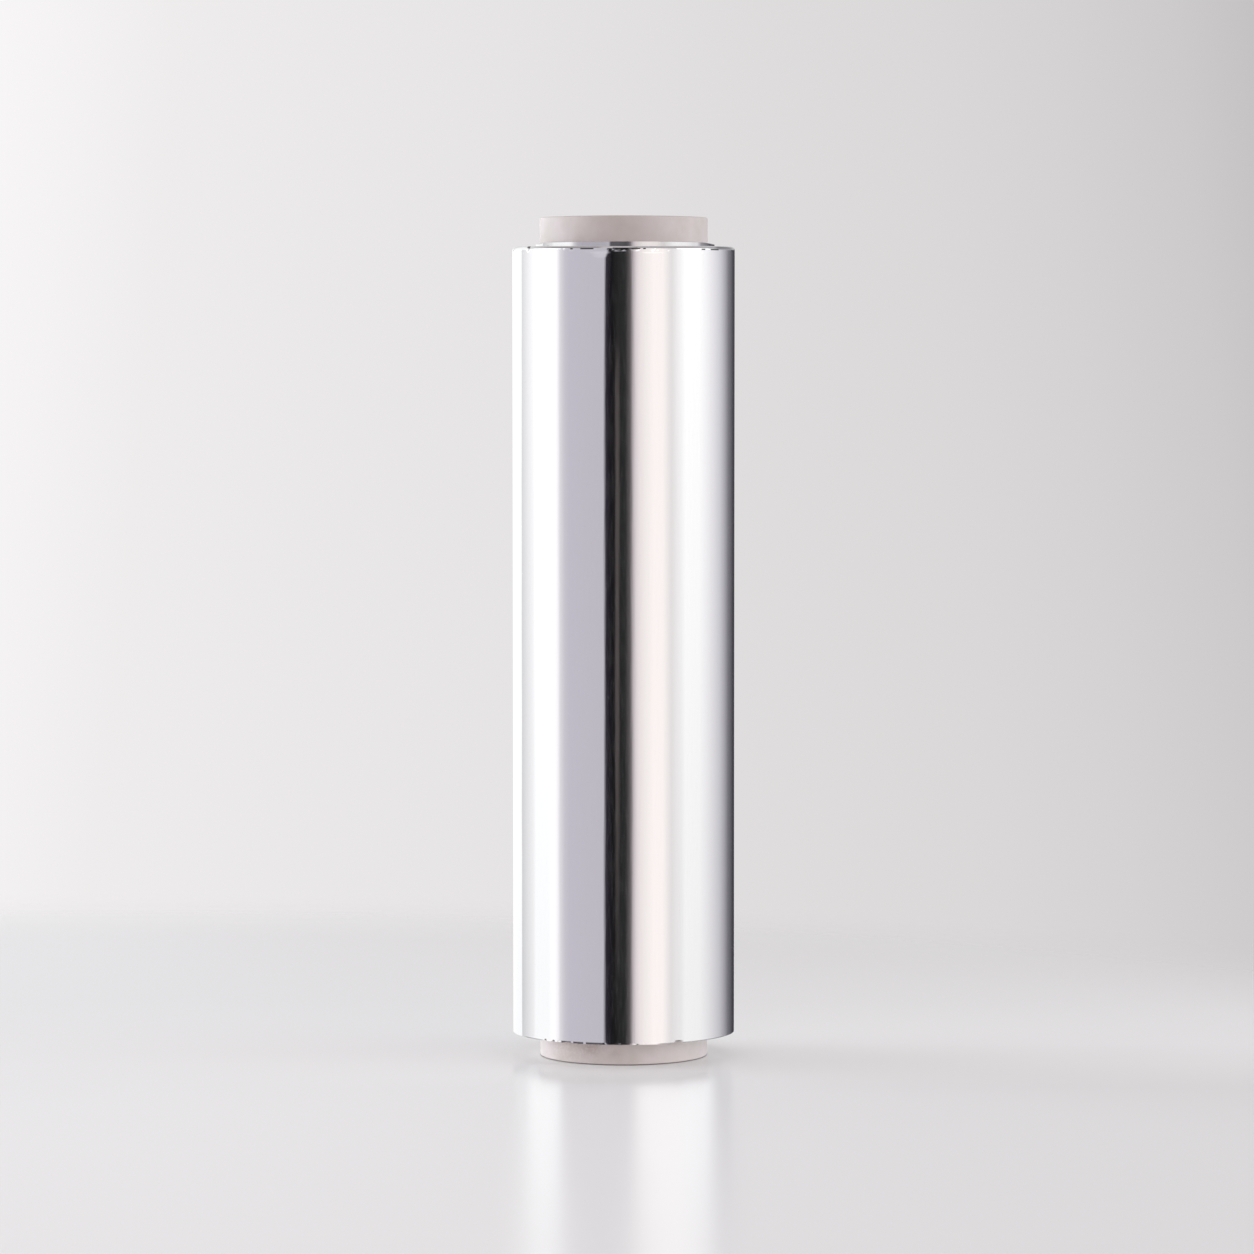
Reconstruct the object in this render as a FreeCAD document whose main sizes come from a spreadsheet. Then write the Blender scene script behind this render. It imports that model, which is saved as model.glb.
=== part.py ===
import FreeCAD, Part
import Sketcher
import math
import os

# A bare roll of catering foil, stood on one end of its paperboard core.
# The frame's origin is the centre of the core's foot, +Z runs up the core, and -Y is the front.
# All lengths are in millimetres and all angles in degrees.

SIZES = [
    ("core_bore_radius", 29.0, "inside of the paperboard tube"),
    ("core_wall", 3.1, "thickness of the tube's board"),
    ("core_length", 321.0, "tube from cut end to cut end"),
    ("core_edge_round", 0.45, "wear on the outer corner of each cut end"),
    ("core_mouth_bevel", 0.5, "crushed inner corner of each cut end"),
    ("bare_foot", 9.2, "tube left bare below the outermost turn"),
    ("foil_width", 300.0, "width of the foil web, the same in every turn"),
    ("winding_build", 10.4, "radial thickness of all the turns"),
    ("lap_step", 0.12, "height of the loose end where the last turn stops"),
    ("lap_angle", 118.0, "where the loose end lies, at the back of the roll"),
    ("rim_band", 0.9, "radial depth of the turns that form the rim"),
    ("rim_rise", 0.3, "how far the end face stands above the outermost turn"),
    ("collar_band", 2.2, "radial depth of the slipped turns beside the core"),
    ("collar_rise", 1.9, "how far the slipped turns stand above the end face"),
    ("turn_ripple", 0.12, "unevenness of the turns across the end face"),
]

# How many groups of turns are drawn in each zone of the end face, from the core outwards.
COLLAR_GROUPS = 4
FACE_GROUPS = 8
RIM_GROUPS = 3
# Each group on the flat of the face stands this many degrees further along the ripple's wave.
RIPPLE_STEP = 137.5
# The trimming outlines run this far past the turns that they cut.
TRIM_MARGIN = 2.0


class Length:
    """A length with its number and the expression over the sheet that gives it."""

    def __init__(self, value, text):
        self.value = value
        self.text = text

    def __add__(self, other):
        return Length(self.value + other.value, f"({self.text} + {other.text})")

    def __sub__(self, other):
        return Length(self.value - other.value, f"({self.text} - {other.text})")

    def __mul__(self, factor):
        return Length(self.value * factor, f"({self.text} * {factor:.5f})")


def fixed(value):
    return Length(value, f"{value:.5f}")


def make_sheet(doc):
    sheet = doc.addObject("Spreadsheet::Sheet", "Sheet")
    for row, (alias, value, note) in enumerate(SIZES, start=1):
        sheet.set(f"A{row}", str(value))
        sheet.setAlias(f"A{row}", alias)
        sheet.set(f"B{row}", note)
    doc.recompute()
    return {alias: Length(value, f"Sheet.{alias}") for alias, value, _ in SIZES}


def add_body(doc, name):
    body = doc.addObject("PartDesign::Body", name)
    body.Label = name
    return body


def add_sketch(body, name, plane_role):
    plane = next(p for p in body.Origin.OriginFeatures if p.Role == plane_role)
    sketch = body.newObject("Sketcher::SketchObject", name)
    sketch.AttachmentSupport = (plane, [""])
    sketch.MapMode = "FlatFace"
    return sketch


def bind(sketch, constraint, name, expression):
    index = sketch.addConstraint(constraint)
    sketch.renameConstraint(index, name)
    sketch.setExpression(f"Constraints.{name}", expression)


def draw_stepped_outline(sketch, corners):
    """A closed outline of upright and level lines. Each corner is an (x, y) pair of Lengths."""
    count = len(corners)
    points = [FreeCAD.Vector(x.value, y.value, 0) for x, y in corners]
    for i in range(count):
        sketch.addGeometry(Part.LineSegment(points[i], points[(i + 1) % count]))
    for i in range(count):
        following = (i + 1) % count
        sketch.addConstraint(Sketcher.Constraint("Coincident", i, 2, following, 1))
    for i in range(count):
        (x, y), (next_x, _) = corners[i], corners[(i + 1) % count]
        if x.text == next_x.text:
            sketch.addConstraint(Sketcher.Constraint("Vertical", i))
            across = Sketcher.Constraint("DistanceX", -1, 1, i, 1, x.value)
            bind(sketch, across, f"across_{i}", x.text)
        else:
            sketch.addConstraint(Sketcher.Constraint("Horizontal", i))
            height = Sketcher.Constraint("DistanceY", -1, 1, i, 1, y.value)
            bind(sketch, height, f"height_{i}", y.text)


def add_turned(body, kind, name, sketch):
    feature = body.newObject(kind, name)
    feature.Profile = sketch
    feature.ReferenceAxis = (sketch, ["V_Axis"])
    feature.Angle = 360
    sketch.Visibility = False
    return feature


def circle_edges(feature, radius, heights):
    """Names of a feature's circular edges that have this radius and lie at one of these heights."""
    found = []
    for index, edge in enumerate(feature.Shape.Edges, start=1):
        if not isinstance(edge.Curve, Part.Circle):
            continue
        same_radius = abs(edge.Curve.Radius - radius) < 1e-4
        if same_radius and any(abs(edge.Curve.Center.z - z) < 1e-4 for z in heights):
            found.append(f"Edge{index}")
    return found


def make_core(doc, size):
    """The paperboard tube: a turned wall with worn outer corners and bevelled mouths."""
    body = add_body(doc, "core_tube")
    inner = size["core_bore_radius"]
    outer = inner + size["core_wall"]
    foot, top = fixed(0.0), size["core_length"]
    section = add_sketch(body, "core_section", "XZ_Plane")
    draw_stepped_outline(section, [(inner, foot), (outer, foot), (outer, top), (inner, top)])
    wall = add_turned(body, "PartDesign::Revolution", "core_wall_turned", section)
    doc.recompute()

    ends = (foot.value, top.value)
    corners = circle_edges(wall, outer.value, ends)
    worn = body.newObject("PartDesign::Fillet", "worn_outer_corners")
    worn.Base = (wall, corners)
    worn.Radius = size["core_edge_round"].value
    worn.setExpression("Radius", size["core_edge_round"].text)
    doc.recompute()

    mouths = circle_edges(worn, inner.value, ends)
    bevel = body.newObject("PartDesign::Chamfer", "bevelled_mouths")
    bevel.Base = (worn, mouths)
    bevel.Size = size["core_mouth_bevel"].value
    bevel.setExpression("Size", size["core_mouth_bevel"].text)
    doc.recompute()
    return body


def turn_groups(size):
    """The radii between the groups of turns, from the core outwards, and the slip of each group.

    Slip is how far a group has moved up the core from the outermost turn. Every turn has the same
    width, so what stands proud at the top of the roll is missing at its foot.
    """
    core = size["core_bore_radius"] + size["core_wall"]
    outer = core + size["winding_build"]
    collar_edge = core + size["collar_band"]
    rim_edge = outer - size["rim_band"]
    radii, slips = [core], []

    def add_zone(start, end, shares):
        count = len(shares)
        for i in range(1, count):
            radii.append(start + (end - start) * (i / count))
        radii.append(end)
        slips.extend(shares)

    # The collar's wall is upright, with a rounded shoulder at its top.
    add_zone(core, collar_edge, [
        size["rim_rise"] + size["collar_rise"] * math.sqrt(1 - (i / COLLAR_GROUPS) ** 2.5)
        for i in range(COLLAR_GROUPS)
    ])
    add_zone(collar_edge, rim_edge, [
        size["rim_rise"] + size["turn_ripple"] * math.sin(math.radians(RIPPLE_STEP * (i + 1)))
        for i in range(FACE_GROUPS)
    ])
    # The rim rolls over in a quarter round down to the outermost turn.
    add_zone(rim_edge, outer, [
        size["rim_rise"] * math.sqrt(1 - (i / RIM_GROUPS) ** 2)
        for i in range(1, RIM_GROUPS + 1)
    ])
    return radii, slips


def draw_spiral_outline(sketch, size):
    """The plan of the winding: two arcs that close on the step of the loose end, round the core.

    The first half turn is at full radius. The second is struck from a centre half a step away,
    so that it meets the first smoothly and comes round one step lower, under the loose end.
    """
    core = size["core_bore_radius"] + size["core_wall"]
    outer = core + size["winding_build"]
    step = size["lap_step"]
    under = outer - step * 0.5
    turn = math.radians(size["lap_angle"].value)
    towards_lap = FreeCAD.Vector(math.cos(turn), math.sin(turn), 0)
    up = FreeCAD.Vector(0, 0, 1)
    centre = FreeCAD.Vector(0, 0, 0)
    under_centre = towards_lap * (-step.value / 2)

    full_half = Part.ArcOfCircle(Part.Circle(centre, up, outer.value), turn, turn + math.pi)
    under_half = Part.ArcOfCircle(
        Part.Circle(under_centre, up, under.value), turn + math.pi, turn + 2 * math.pi
    )
    lap = Part.LineSegment(
        towards_lap * (outer.value - step.value), towards_lap * outer.value
    )
    full, low = sketch.addGeometry(full_half), sketch.addGeometry(under_half)
    edge = sketch.addGeometry(lap)
    hole = sketch.addGeometry(Part.Circle(centre, up, core.value))

    for constraint in (
        Sketcher.Constraint("Coincident", full, 3, -1, 1),
        Sketcher.Constraint("Coincident", hole, 3, -1, 1),
        Sketcher.Constraint("Tangent", full, 2, low, 1),
        Sketcher.Constraint("Coincident", low, 2, edge, 1),
        Sketcher.Constraint("Coincident", edge, 2, full, 1),
        Sketcher.Constraint("PointOnObject", -1, 1, edge),
        Sketcher.Constraint("PointOnObject", low, 3, edge),
    ):
        sketch.addConstraint(constraint)
    bind(sketch, Sketcher.Constraint("Radius", full, outer.value), "outer_radius", outer.text)
    bind(sketch, Sketcher.Constraint("Radius", low, under.value), "under_radius", under.text)
    bind(sketch, Sketcher.Constraint("Radius", hole, core.value), "core_radius", core.text)
    lap_turn = Sketcher.Constraint("Angle", edge, turn)
    bind(sketch, lap_turn, "lap_angle", f"{size['lap_angle'].text} * 1 deg")


def make_winding(doc, size):
    """All the turns of foil as one solid, with slipped turns at both ends and the loose end's step."""
    body = add_body(doc, "foil_winding")
    radii, slips = turn_groups(size)
    foot = size["bare_foot"]
    top = foot + size["foil_width"]
    tallest = slips[0]
    margin = fixed(TRIM_MARGIN)

    plan = add_sketch(body, "winding_plan", "XY_Plane")
    draw_spiral_outline(plan, size)
    plan.setExpression("AttachmentOffset.Base.z", foot.text)
    turns = body.newObject("PartDesign::Pad", "wound_turns")
    turns.Profile = plan
    height = size["foil_width"] + tallest
    turns.Length = height.value
    turns.setExpression("Length", height.text)
    plan.Visibility = False
    doc.recompute()
    volumes = [body.Shape.Volume]

    # At the top, every group outside the first is cut down to its own slip.
    past_rim = radii[-1] + margin
    above = top + tallest + margin
    corners = [(radii[1], above)]
    for inner, outer, slip in zip(radii[1:-1], radii[2:-1] + [past_rim], slips[1:]):
        corners += [(inner, top + slip), (outer, top + slip)]
    corners.append((past_rim, above))
    top_trim = add_sketch(body, "top_trim", "XZ_Plane")
    draw_stepped_outline(top_trim, corners)
    add_turned(body, "PartDesign::Groove", "slipped_turns_top", top_trim)
    doc.recompute()
    volumes.append(body.Shape.Volume)

    # At the foot, every group inside the outermost is cut up by the same slip.
    inside = radii[0] - margin
    below = foot - margin
    corners = [(inside, below)]
    for inner, outer, slip in zip([inside] + radii[1:-2], radii[1:-1], slips[:-1]):
        corners += [(inner, foot + slip), (outer, foot + slip)]
    corners.append((radii[-2], below))
    foot_trim = add_sketch(body, "foot_trim", "XZ_Plane")
    draw_stepped_outline(foot_trim, corners)
    add_turned(body, "PartDesign::Groove", "slipped_turns_foot", foot_trim)
    doc.recompute()
    volumes.append(body.Shape.Volume)
    if not volumes[0] > volumes[1] > volumes[2]:
        raise RuntimeError("a trim of the winding's ends removed nothing")
    return body


def check(doc, bodies):
    for thing in doc.Objects:
        if "Invalid" in thing.State or "Error" in thing.State:
            raise RuntimeError(f"{thing.Name} failed: {thing.State}")
    for body in bodies:
        shape = body.Shape
        if shape.isNull() or not shape.isValid() or len(shape.Solids) != 1:
            raise RuntimeError(f"{body.Label} is not one valid solid")


def main():
    doc = FreeCAD.newDocument("foil_roll")
    size = make_sheet(doc)
    bodies = [make_core(doc, size), make_winding(doc, size)]
    doc.recompute()
    check(doc, bodies)
    os.makedirs("parts", exist_ok=True)
    for body in bodies:
        body.Shape.exportStep(os.path.join("parts", f"{body.Label}.step"))
        box = body.Shape.BoundBox
        print(
            f"{body.Label}: volume {body.Shape.Volume:.1f}, faces {len(body.Shape.Faces)}, "
            f"x {box.XMin:.3f} to {box.XMax:.3f}, y {box.YMin:.3f} to {box.YMax:.3f}, "
            f"z {box.ZMin:.3f} to {box.ZMax:.3f}"
        )


main()
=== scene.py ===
import bmesh
import bpy
import math
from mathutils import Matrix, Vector, noise


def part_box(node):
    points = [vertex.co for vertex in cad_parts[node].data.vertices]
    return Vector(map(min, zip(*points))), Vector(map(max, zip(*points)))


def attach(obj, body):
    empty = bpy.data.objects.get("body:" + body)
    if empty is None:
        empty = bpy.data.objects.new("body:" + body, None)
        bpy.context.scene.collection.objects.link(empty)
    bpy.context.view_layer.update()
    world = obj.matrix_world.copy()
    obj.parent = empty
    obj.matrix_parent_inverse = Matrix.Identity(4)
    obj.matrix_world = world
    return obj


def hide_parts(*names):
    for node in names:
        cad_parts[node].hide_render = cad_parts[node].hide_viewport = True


# A bare roll of catering foil on its paperboard core, standing on a glossy pale tabletop.
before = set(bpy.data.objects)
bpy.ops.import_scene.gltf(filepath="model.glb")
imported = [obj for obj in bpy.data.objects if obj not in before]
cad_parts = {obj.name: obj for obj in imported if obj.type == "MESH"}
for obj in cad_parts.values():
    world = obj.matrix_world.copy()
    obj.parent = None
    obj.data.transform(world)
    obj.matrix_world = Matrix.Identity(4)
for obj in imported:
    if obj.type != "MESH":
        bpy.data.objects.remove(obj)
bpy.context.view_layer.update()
scene = bpy.context.scene
scene.view_settings.view_transform = "Standard"


def linearColour(hexText, alpha=1.0):
    channels = [int(hexText[i:i + 2], 16) / 255 for i in (0, 2, 4)]
    return [c / 12.92 if c <= 0.04045 else ((c + 0.055) / 1.055) ** 2.4 for c in channels] + [alpha]


def addNode(tree, kind, inputs=None, **settings):
    # inputs holds plain values, sockets, or nodes whose first output is linked
    node = tree.nodes.new(kind)
    for name, value in settings.items():
        setattr(node, name, value)
    for key, value in (inputs or {}).items():
        socket = node.inputs[key]
        if isinstance(value, bpy.types.Node):
            tree.links.new(value.outputs[0], socket)
        elif isinstance(value, bpy.types.NodeSocket):
            tree.links.new(value, socket)
        else:
            socket.default_value = value
    return node


def newMaterial(name):
    material = bpy.data.materials.new(name)
    material.use_nodes = True
    material.node_tree.nodes.clear()
    return material, material.node_tree


def placeOnRoll(tree):
    # where a point is in millimetres, its three coordinates, and its distance from the roll's axis
    where = addNode(tree, "ShaderNodeTexCoord").outputs["Object"]
    inMillimetres = addNode(tree, "ShaderNodeVectorMath", {0: where, "Scale": 1000.0}, operation="SCALE")
    spot = addNode(tree, "ShaderNodeSeparateXYZ", {0: inMillimetres})
    flatPlace = addNode(tree, "ShaderNodeVectorMath",
                        {0: inMillimetres, 1: (1.0, 1.0, 0.0)}, operation="MULTIPLY")
    fromAxis = addNode(tree, "ShaderNodeVectorMath", {0: flatPlace}, operation="LENGTH")
    return inMillimetres, spot, fromAxis.outputs["Value"]


def sineAndCosine(tree, angle):
    return [addNode(tree, "ShaderNodeMath", {0: angle}, operation=name) for name in ("SINE", "COSINE")]


def towards(bearing, elevation=0.0):
    # unit vector seen from the roll, with bearing 0 towards the camera and the camera's left negative
    flat = math.cos(math.radians(elevation))
    return Vector((math.sin(math.radians(bearing)) * flat, -math.cos(math.radians(bearing)) * flat,
                   math.sin(math.radians(elevation))))


view = {
    "distance": 1.9063,     # metres in front of the roll's axis
    "height": 0.26085,
    "tiltDown": 2.890,      # degrees
    "turnRight": 0.038,
    "lens": 142.91,         # millimetres on a 36 mm sensor
}
print("stage: camera")
cameraData = bpy.data.cameras.new("camera")
cameraData.lens = view["lens"]
cameraData.sensor_width = 36
cameraData.clip_end = 50
camera = bpy.data.objects.new("camera", cameraData)
camera.location = (0, -view["distance"], view["height"])
camera.rotation_euler = (math.radians(90 - view["tiltDown"]), 0, math.radians(-view["turnRight"]))
scene.collection.objects.link(camera)
scene.camera = camera

# The studio is drawn on the world: soft boxes, plain walls and black flags, each given by the bearing
# it is seen at from the roll, in degrees. A panel's light runs evenly from its first colour to its
# last, and the light between two panels blends one into the other.
studio = {
    "low": [                # what the foil's wall mirrors, at about its own height
        (-180.0, -133.6, "ffffff", "ffffff"),   # tall soft box behind on the left
        (-132.4, -109.0, "cfcfd0", "f2f0f1"),   # wall that brightens towards the next box
        (-104.0, -77.6, "ffffff", "ffffff"),    # large soft box on the left
        (-75.6, -72.2, "f8f5f7", "eeeaed"),
        (-69.8, -63.6, "d2ced2", "bcb8c0"),
        (-58.0, -20.0, "b6b1bb", "b2aeb6"),     # cool grey wall
        (-19.4, -16.0, "332f38", "1f1c23"),     # edge of the black flag beside the camera
        (-12.0, -5.0, "131214", "202020"),
        (1.8, 6.8, "242525", "585354"),         # the flag's soft right edge
        (10.4, 12.5, "b5acaf", "ccc3c5"),
        (16.2, 22.5, "ddd3d3", "e5dedb"),
        (31.0, 41.0, "efe7e4", "eee6e3"),       # warm wall on the right
        (50.5, 67.0, "d6d1d1", "f6f5f4"),       # from its corner to the large soft box on the right
        (86.0, 106.0, "f5f3f3", "dbd8db"),      # its light falls off along the wall
        (119.0, 130.0, "c4c2c7", "a29fa5"),
        (140.0, 158.0, "757279", "403e44"),     # unlit far corner
    ],
    "high": [               # above the flags, as the tabletop's reflection of the foil mirrors it
        (-180.0, -126.0, "cecece", "cecece"),
        (-110.0, -75.0, "ffffff", "ffffff"),
        (-64.0, 6.0, "a6a2a9", "a6a2a9"),
        (14.0, 20.0, "e0d9d9", "f9f3f1"),
        (28.0, 56.0, "fffaf8", "fffaf8"),
        (64.0, 96.0, "ffffff", "f9f8f9"),
        (118.0, 180.0, "918f93", "918f93"),
    ],
    "lowGain": 1.25,
    "highGain": 1.72,
    "highFrom": (0.042, 0.085),     # heights here are on the unit sphere round the roll
    "sideFade": 0.15,               # loss of light towards the foot of the boxes and side walls
    "sideFadeHeight": (0.02, -0.122),
    "fadeRight": (50.0, 62.0),
    "fadeLeft": (-70.0, -85.0),
    "slot": "494342",               # dim slot between the two flags, which ends below eye level
    "slotRise": (-9.2, -7.8),
    "slotFall": (-3.4, -5.6),
    "slotTop": (0.008, -0.004),
    "slotFoot": (-0.125, -0.080),
    "overhead": "fff9fb",
    "overheadGain": 0.54,
    "overheadFrom": (0.42, 0.72),
    "behind": "e4e2e3",             # the low sweep behind the roll, as the tabletop mirrors it
    "behindBearing": (150.0, 168.0),
    "behindHeight": (0.06, 0.10),
    "backdrop": [                   # what the camera sees, from its left to its right
        (-0.150, "faf8f9"), (-0.122, "f4f2f3"), (-0.100, "eeecec"), (-0.065, "eae8e9"), (-0.025, "e6e4e5"),
        (0.023, "dfdddd"), (0.066, "dad8d8"), (0.096, "d5d2d3"), (0.123, "cdcacb"), (0.145, "c2bfc0"),
    ],
    "backdropReach": 0.16,
    "backdropStretch": (-0.11, 0.07, 0.93, 1.12),   # the sweep of light is steeper at the top
}
print("stage: light")
world = bpy.data.worlds.new("softStudio")
scene.world = world
world.use_nodes = True
tree = world.node_tree
tree.nodes.clear()
direction = addNode(tree, "ShaderNodeSeparateXYZ",
                    {0: addNode(tree, "ShaderNodeTexCoord").outputs["Generated"]})
height = direction.outputs["Z"]
towardsCamera = addNode(tree, "ShaderNodeMath", {0: direction.outputs["Y"], 1: -1.0}, operation="MULTIPLY")
bearing = addNode(tree, "ShaderNodeMath", {0: direction.outputs["X"], 1: towardsCamera}, operation="ARCTAN2")
degrees = addNode(tree, "ShaderNodeMath", {0: bearing}, operation="DEGREES")
place = addNode(tree, "ShaderNodeMapRange", {0: degrees, 1: -180.0, 2: 180.0})
offAxis = addNode(tree, "ShaderNodeMath", {0: degrees}, operation="ABSOLUTE")

# shares that grow from 0 to 1 between the two bearings or heights that the dictionary gives
shares = {}
for name, along in (("slotRise", degrees), ("slotFall", degrees), ("slotTop", height), ("slotFoot", height),
                    ("fadeRight", degrees), ("fadeLeft", degrees), ("highFrom", height),
                    ("behindBearing", offAxis), ("behindHeight", height), ("overheadFrom", height)):
    start, end = studio[name]
    shares[name] = addNode(tree, "ShaderNodeMapRange", {0: along, 1: start, 2: end})

# two rings of panels, one above the other
rings = {}
for ringName in ("low", "high"):
    ring = addNode(tree, "ShaderNodeValToRGB", {0: place})
    stops = []
    for start, end, firstColour, lastColour in studio[ringName]:
        stops += [(start, firstColour), (end, lastColour)]
    stopElements = ring.color_ramp.elements
    stopElements[0].position = 0.0
    stopElements[0].color = linearColour(stops[0][1])
    stopElements[1].position = (stops[-1][0] + 180) / 360
    stopElements[1].color = linearColour(stops[-1][1])
    for angle, colour in stops[1:-1]:
        stopElements.new((angle + 180) / 360).color = linearColour(colour)
    rings[ringName] = addNode(tree, "ShaderNodeVectorMath", {0: ring, "Scale": studio[ringName + "Gain"]},
                              operation="SCALE")

# the dim slot between the two flags
slotAcross = addNode(tree, "ShaderNodeMath",
                     {0: shares["slotRise"], 1: shares["slotFall"]}, operation="MULTIPLY")
slotUp = addNode(tree, "ShaderNodeMath",
                 {0: shares["slotTop"], 1: shares["slotFoot"]}, operation="MULTIPLY")
slotShare = addNode(tree, "ShaderNodeMath", {0: slotAcross, 1: slotUp}, operation="MULTIPLY")
slotLight = [c * studio["lowGain"] for c in linearColour(studio["slot"])[:3]] + [1.0]
lowRing = addNode(tree, "ShaderNodeMix",
                  {"Factor": slotShare, 6: rings["low"], 7: slotLight}, data_type="RGBA")

# the boxes and side walls lose light towards the foot
fadeDown = addNode(tree, "ShaderNodeMapRange",
                   {0: height, 1: studio["sideFadeHeight"][0], 2: studio["sideFadeHeight"][1],
                    4: studio["sideFade"]})
onSides = addNode(tree, "ShaderNodeMath",
                  {0: shares["fadeRight"], 1: shares["fadeLeft"]}, operation="MAXIMUM")
fade = addNode(tree, "ShaderNodeMath", {0: fadeDown, 1: onSides}, operation="MULTIPLY")
kept = addNode(tree, "ShaderNodeMath", {0: 1.0, 1: fade}, operation="SUBTRACT")
fadedRing = addNode(tree, "ShaderNodeVectorMath", {0: lowRing.outputs[2], "Scale": kept}, operation="SCALE")
bothRings = addNode(tree, "ShaderNodeMix",
                    {"Factor": shares["highFrom"], 6: fadedRing, 7: rings["high"]}, data_type="RGBA")

# the low sweep behind the roll, and the soft light overhead
behindShare = addNode(tree, "ShaderNodeMath",
                      {0: shares["behindBearing"], 1: shares["behindHeight"]}, operation="MULTIPLY")
withSweep = addNode(tree, "ShaderNodeMix",
                    {"Factor": behindShare, 6: bothRings.outputs[2], 7: linearColour(studio["behind"])},
                    data_type="RGBA")
overheadLight = [c * studio["overheadGain"] for c in linearColour(studio["overhead"])[:3]] + [1.0]
surround = addNode(tree, "ShaderNodeMix",
                   {"Factor": shares["overheadFrom"], 6: withSweep.outputs[2], 7: overheadLight},
                   data_type="RGBA")

# the camera itself sees a plain sweep, pale on the left
low, high, stretchLow, stretchHigh = studio["backdropStretch"]
stretch = addNode(tree, "ShaderNodeMapRange", {0: height, 1: low, 2: high, 3: stretchLow, 4: stretchHigh})
stretched = addNode(tree, "ShaderNodeMath", {0: direction.outputs["X"], 1: stretch}, operation="MULTIPLY")
across = addNode(tree, "ShaderNodeMapRange",
                 {0: stretched, 1: -studio["backdropReach"], 2: studio["backdropReach"]})
backdrop = addNode(tree, "ShaderNodeValToRGB", {0: across})
stopElements = backdrop.color_ramp.elements
stopElements.remove(stopElements[1])
for i, (x, colour) in enumerate(studio["backdrop"]):
    where = (x + studio["backdropReach"]) / (2 * studio["backdropReach"])
    element = stopElements[0] if i == 0 else stopElements.new(where)
    element.position = where
    element.color = linearColour(colour)
lit = addNode(tree, "ShaderNodeBackground", {0: surround.outputs[2], 1: 1.0})
seen = addNode(tree, "ShaderNodeBackground", {0: backdrop, 1: 1.0})
lightPath = addNode(tree, "ShaderNodeLightPath")
mixed = addNode(tree, "ShaderNodeMixShader", {0: lightPath.outputs["Is Camera Ray"], 1: lit, 2: seen})
addNode(tree, "ShaderNodeOutputWorld", {0: mixed})

# Three soft lamps give the board its shading and the roll its faint long shadow. The foil shows the
# boxes drawn above in their place.
lamps = {
    "leftLamp": {"bearing": -103.0, "elevation": 3.0, "aimHeight": 0.09, "width": 1.4, "tall": 0.3,
                 "watts": 26.0, "colour": "e8f7ff", "spread": 180.0},
    "rightLamp": {"bearing": 88.0, "elevation": 3.0, "aimHeight": 0.09, "width": 1.4, "tall": 0.3,
                  "watts": 11.5, "colour": "e0f3ff", "spread": 180.0},
    # a narrow beam along the tabletop, for the foot of the core only
    "footLamp": {"bearing": -10.0, "elevation": 5.0, "aimHeight": 0.0, "width": 0.3, "tall": 0.1,
                 "watts": 0.03, "colour": "ffffff", "spread": 20.0},
}
lampDistance = 1.6
for name, lamp in lamps.items():
    aim = Vector((0, 0, lamp["aimHeight"]))
    lampData = bpy.data.lights.new(name, "AREA")
    lampData.shape = "ELLIPSE"
    lampData.size = lamp["width"]
    lampData.size_y = lamp["tall"]
    lampData.energy = lamp["watts"]
    lampData.color = linearColour(lamp["colour"])[:3]
    lampData.spread = math.radians(lamp["spread"])
    lampObject = bpy.data.objects.new(name, lampData)
    lampObject.location = aim + towards(lamp["bearing"], lamp["elevation"]) * lampDistance
    lampObject.rotation_euler = (aim - lampObject.location).to_track_quat("-Z", "Y").to_euler()
    lampObject.visible_glossy = False
    lampObject.visible_camera = False
    scene.collection.objects.link(lampObject)

table = {
    "radius": 3.0,
    "centre": (-0.25, -0.20),   # the visible part of the tabletop is a soft round pool about here
    "fade": (0.58, 0.80),       # distance from that centre over which it melts into the backdrop
    "colourAndPaintedLight": (                # painted light: the board's colour on the left and on the right, near to far, lighter on the left and nearer the camera, and lifted on the right beside the roll where the left lamp's shadow falls
        (-0.24, "fdfcfb", "e9e8e7"), (-0.09, "fbfaf9", "e9e8e7"), (-0.03, "fcfbfa", "f3f2f1"),
        (0.03, "faf9f8", "f6f5f4"), (0.16, "f5f4f3", "ebeae9"), (0.42, "f3f2f1", "dad9d8"),
    ),
    "across": (-0.26, 0.26),
    "lacquer": 0.74,            # share of the board that the thin lacquer covers
    "lacquerTilt": 1.8,         # degrees: the board is slightly dished, so the lacquer faces the camera
    "polish": 0.19,             # roughness of the lacquer
    "mirrorFrom": (0.55, 0.75),
}
print("stage: tabletop")
ringPoints = 96
corners = [towards(360 * i / ringPoints) * table["radius"] for i in range(ringPoints)]
tabletopMesh = bpy.data.meshes.new("tabletop")
tabletopMesh.from_pydata(corners, [], [list(range(ringPoints))])
tabletop = bpy.data.objects.new("tabletop", tabletopMesh)
scene.collection.objects.link(tabletop)

# Thinly lacquered white board: it mirrors what stands on it, more so the flatter it is looked along.
lacqueredBoard, tree = newMaterial("lacqueredBoard")
where = addNode(tree, "ShaderNodeTexCoord")
spot = addNode(tree, "ShaderNodeSeparateXYZ", {0: where.outputs["Object"]})
acrossTable = addNode(tree, "ShaderNodeMapRange",
                      {0: spot.outputs["X"], 1: table["across"][0], 2: table["across"][1]})
rowColours = []
for depth, left, right in table["colourAndPaintedLight"]:
    rowColours.append(addNode(tree, "ShaderNodeMix",
                              {"Factor": acrossTable, 6: linearColour(left), 7: linearColour(right)},
                              data_type="RGBA").outputs[2])
# painted light: the rows blend from near to far into one graded tabletop colour
boardColourAndPaintedLight = rowColours[0]
for nearer, further, rowColour in zip(table["colourAndPaintedLight"], table["colourAndPaintedLight"][1:], rowColours[1:]):
    between = addNode(tree, "ShaderNodeMapRange", {0: spot.outputs["Y"], 1: nearer[0], 2: further[0]})
    boardColourAndPaintedLight = addNode(tree, "ShaderNodeMix", {"Factor": between, 6: boardColourAndPaintedLight, 7: rowColour},
                          data_type="RGBA").outputs[2]
lacquerFaces = towards(0, 90 - table["lacquerTilt"])
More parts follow.
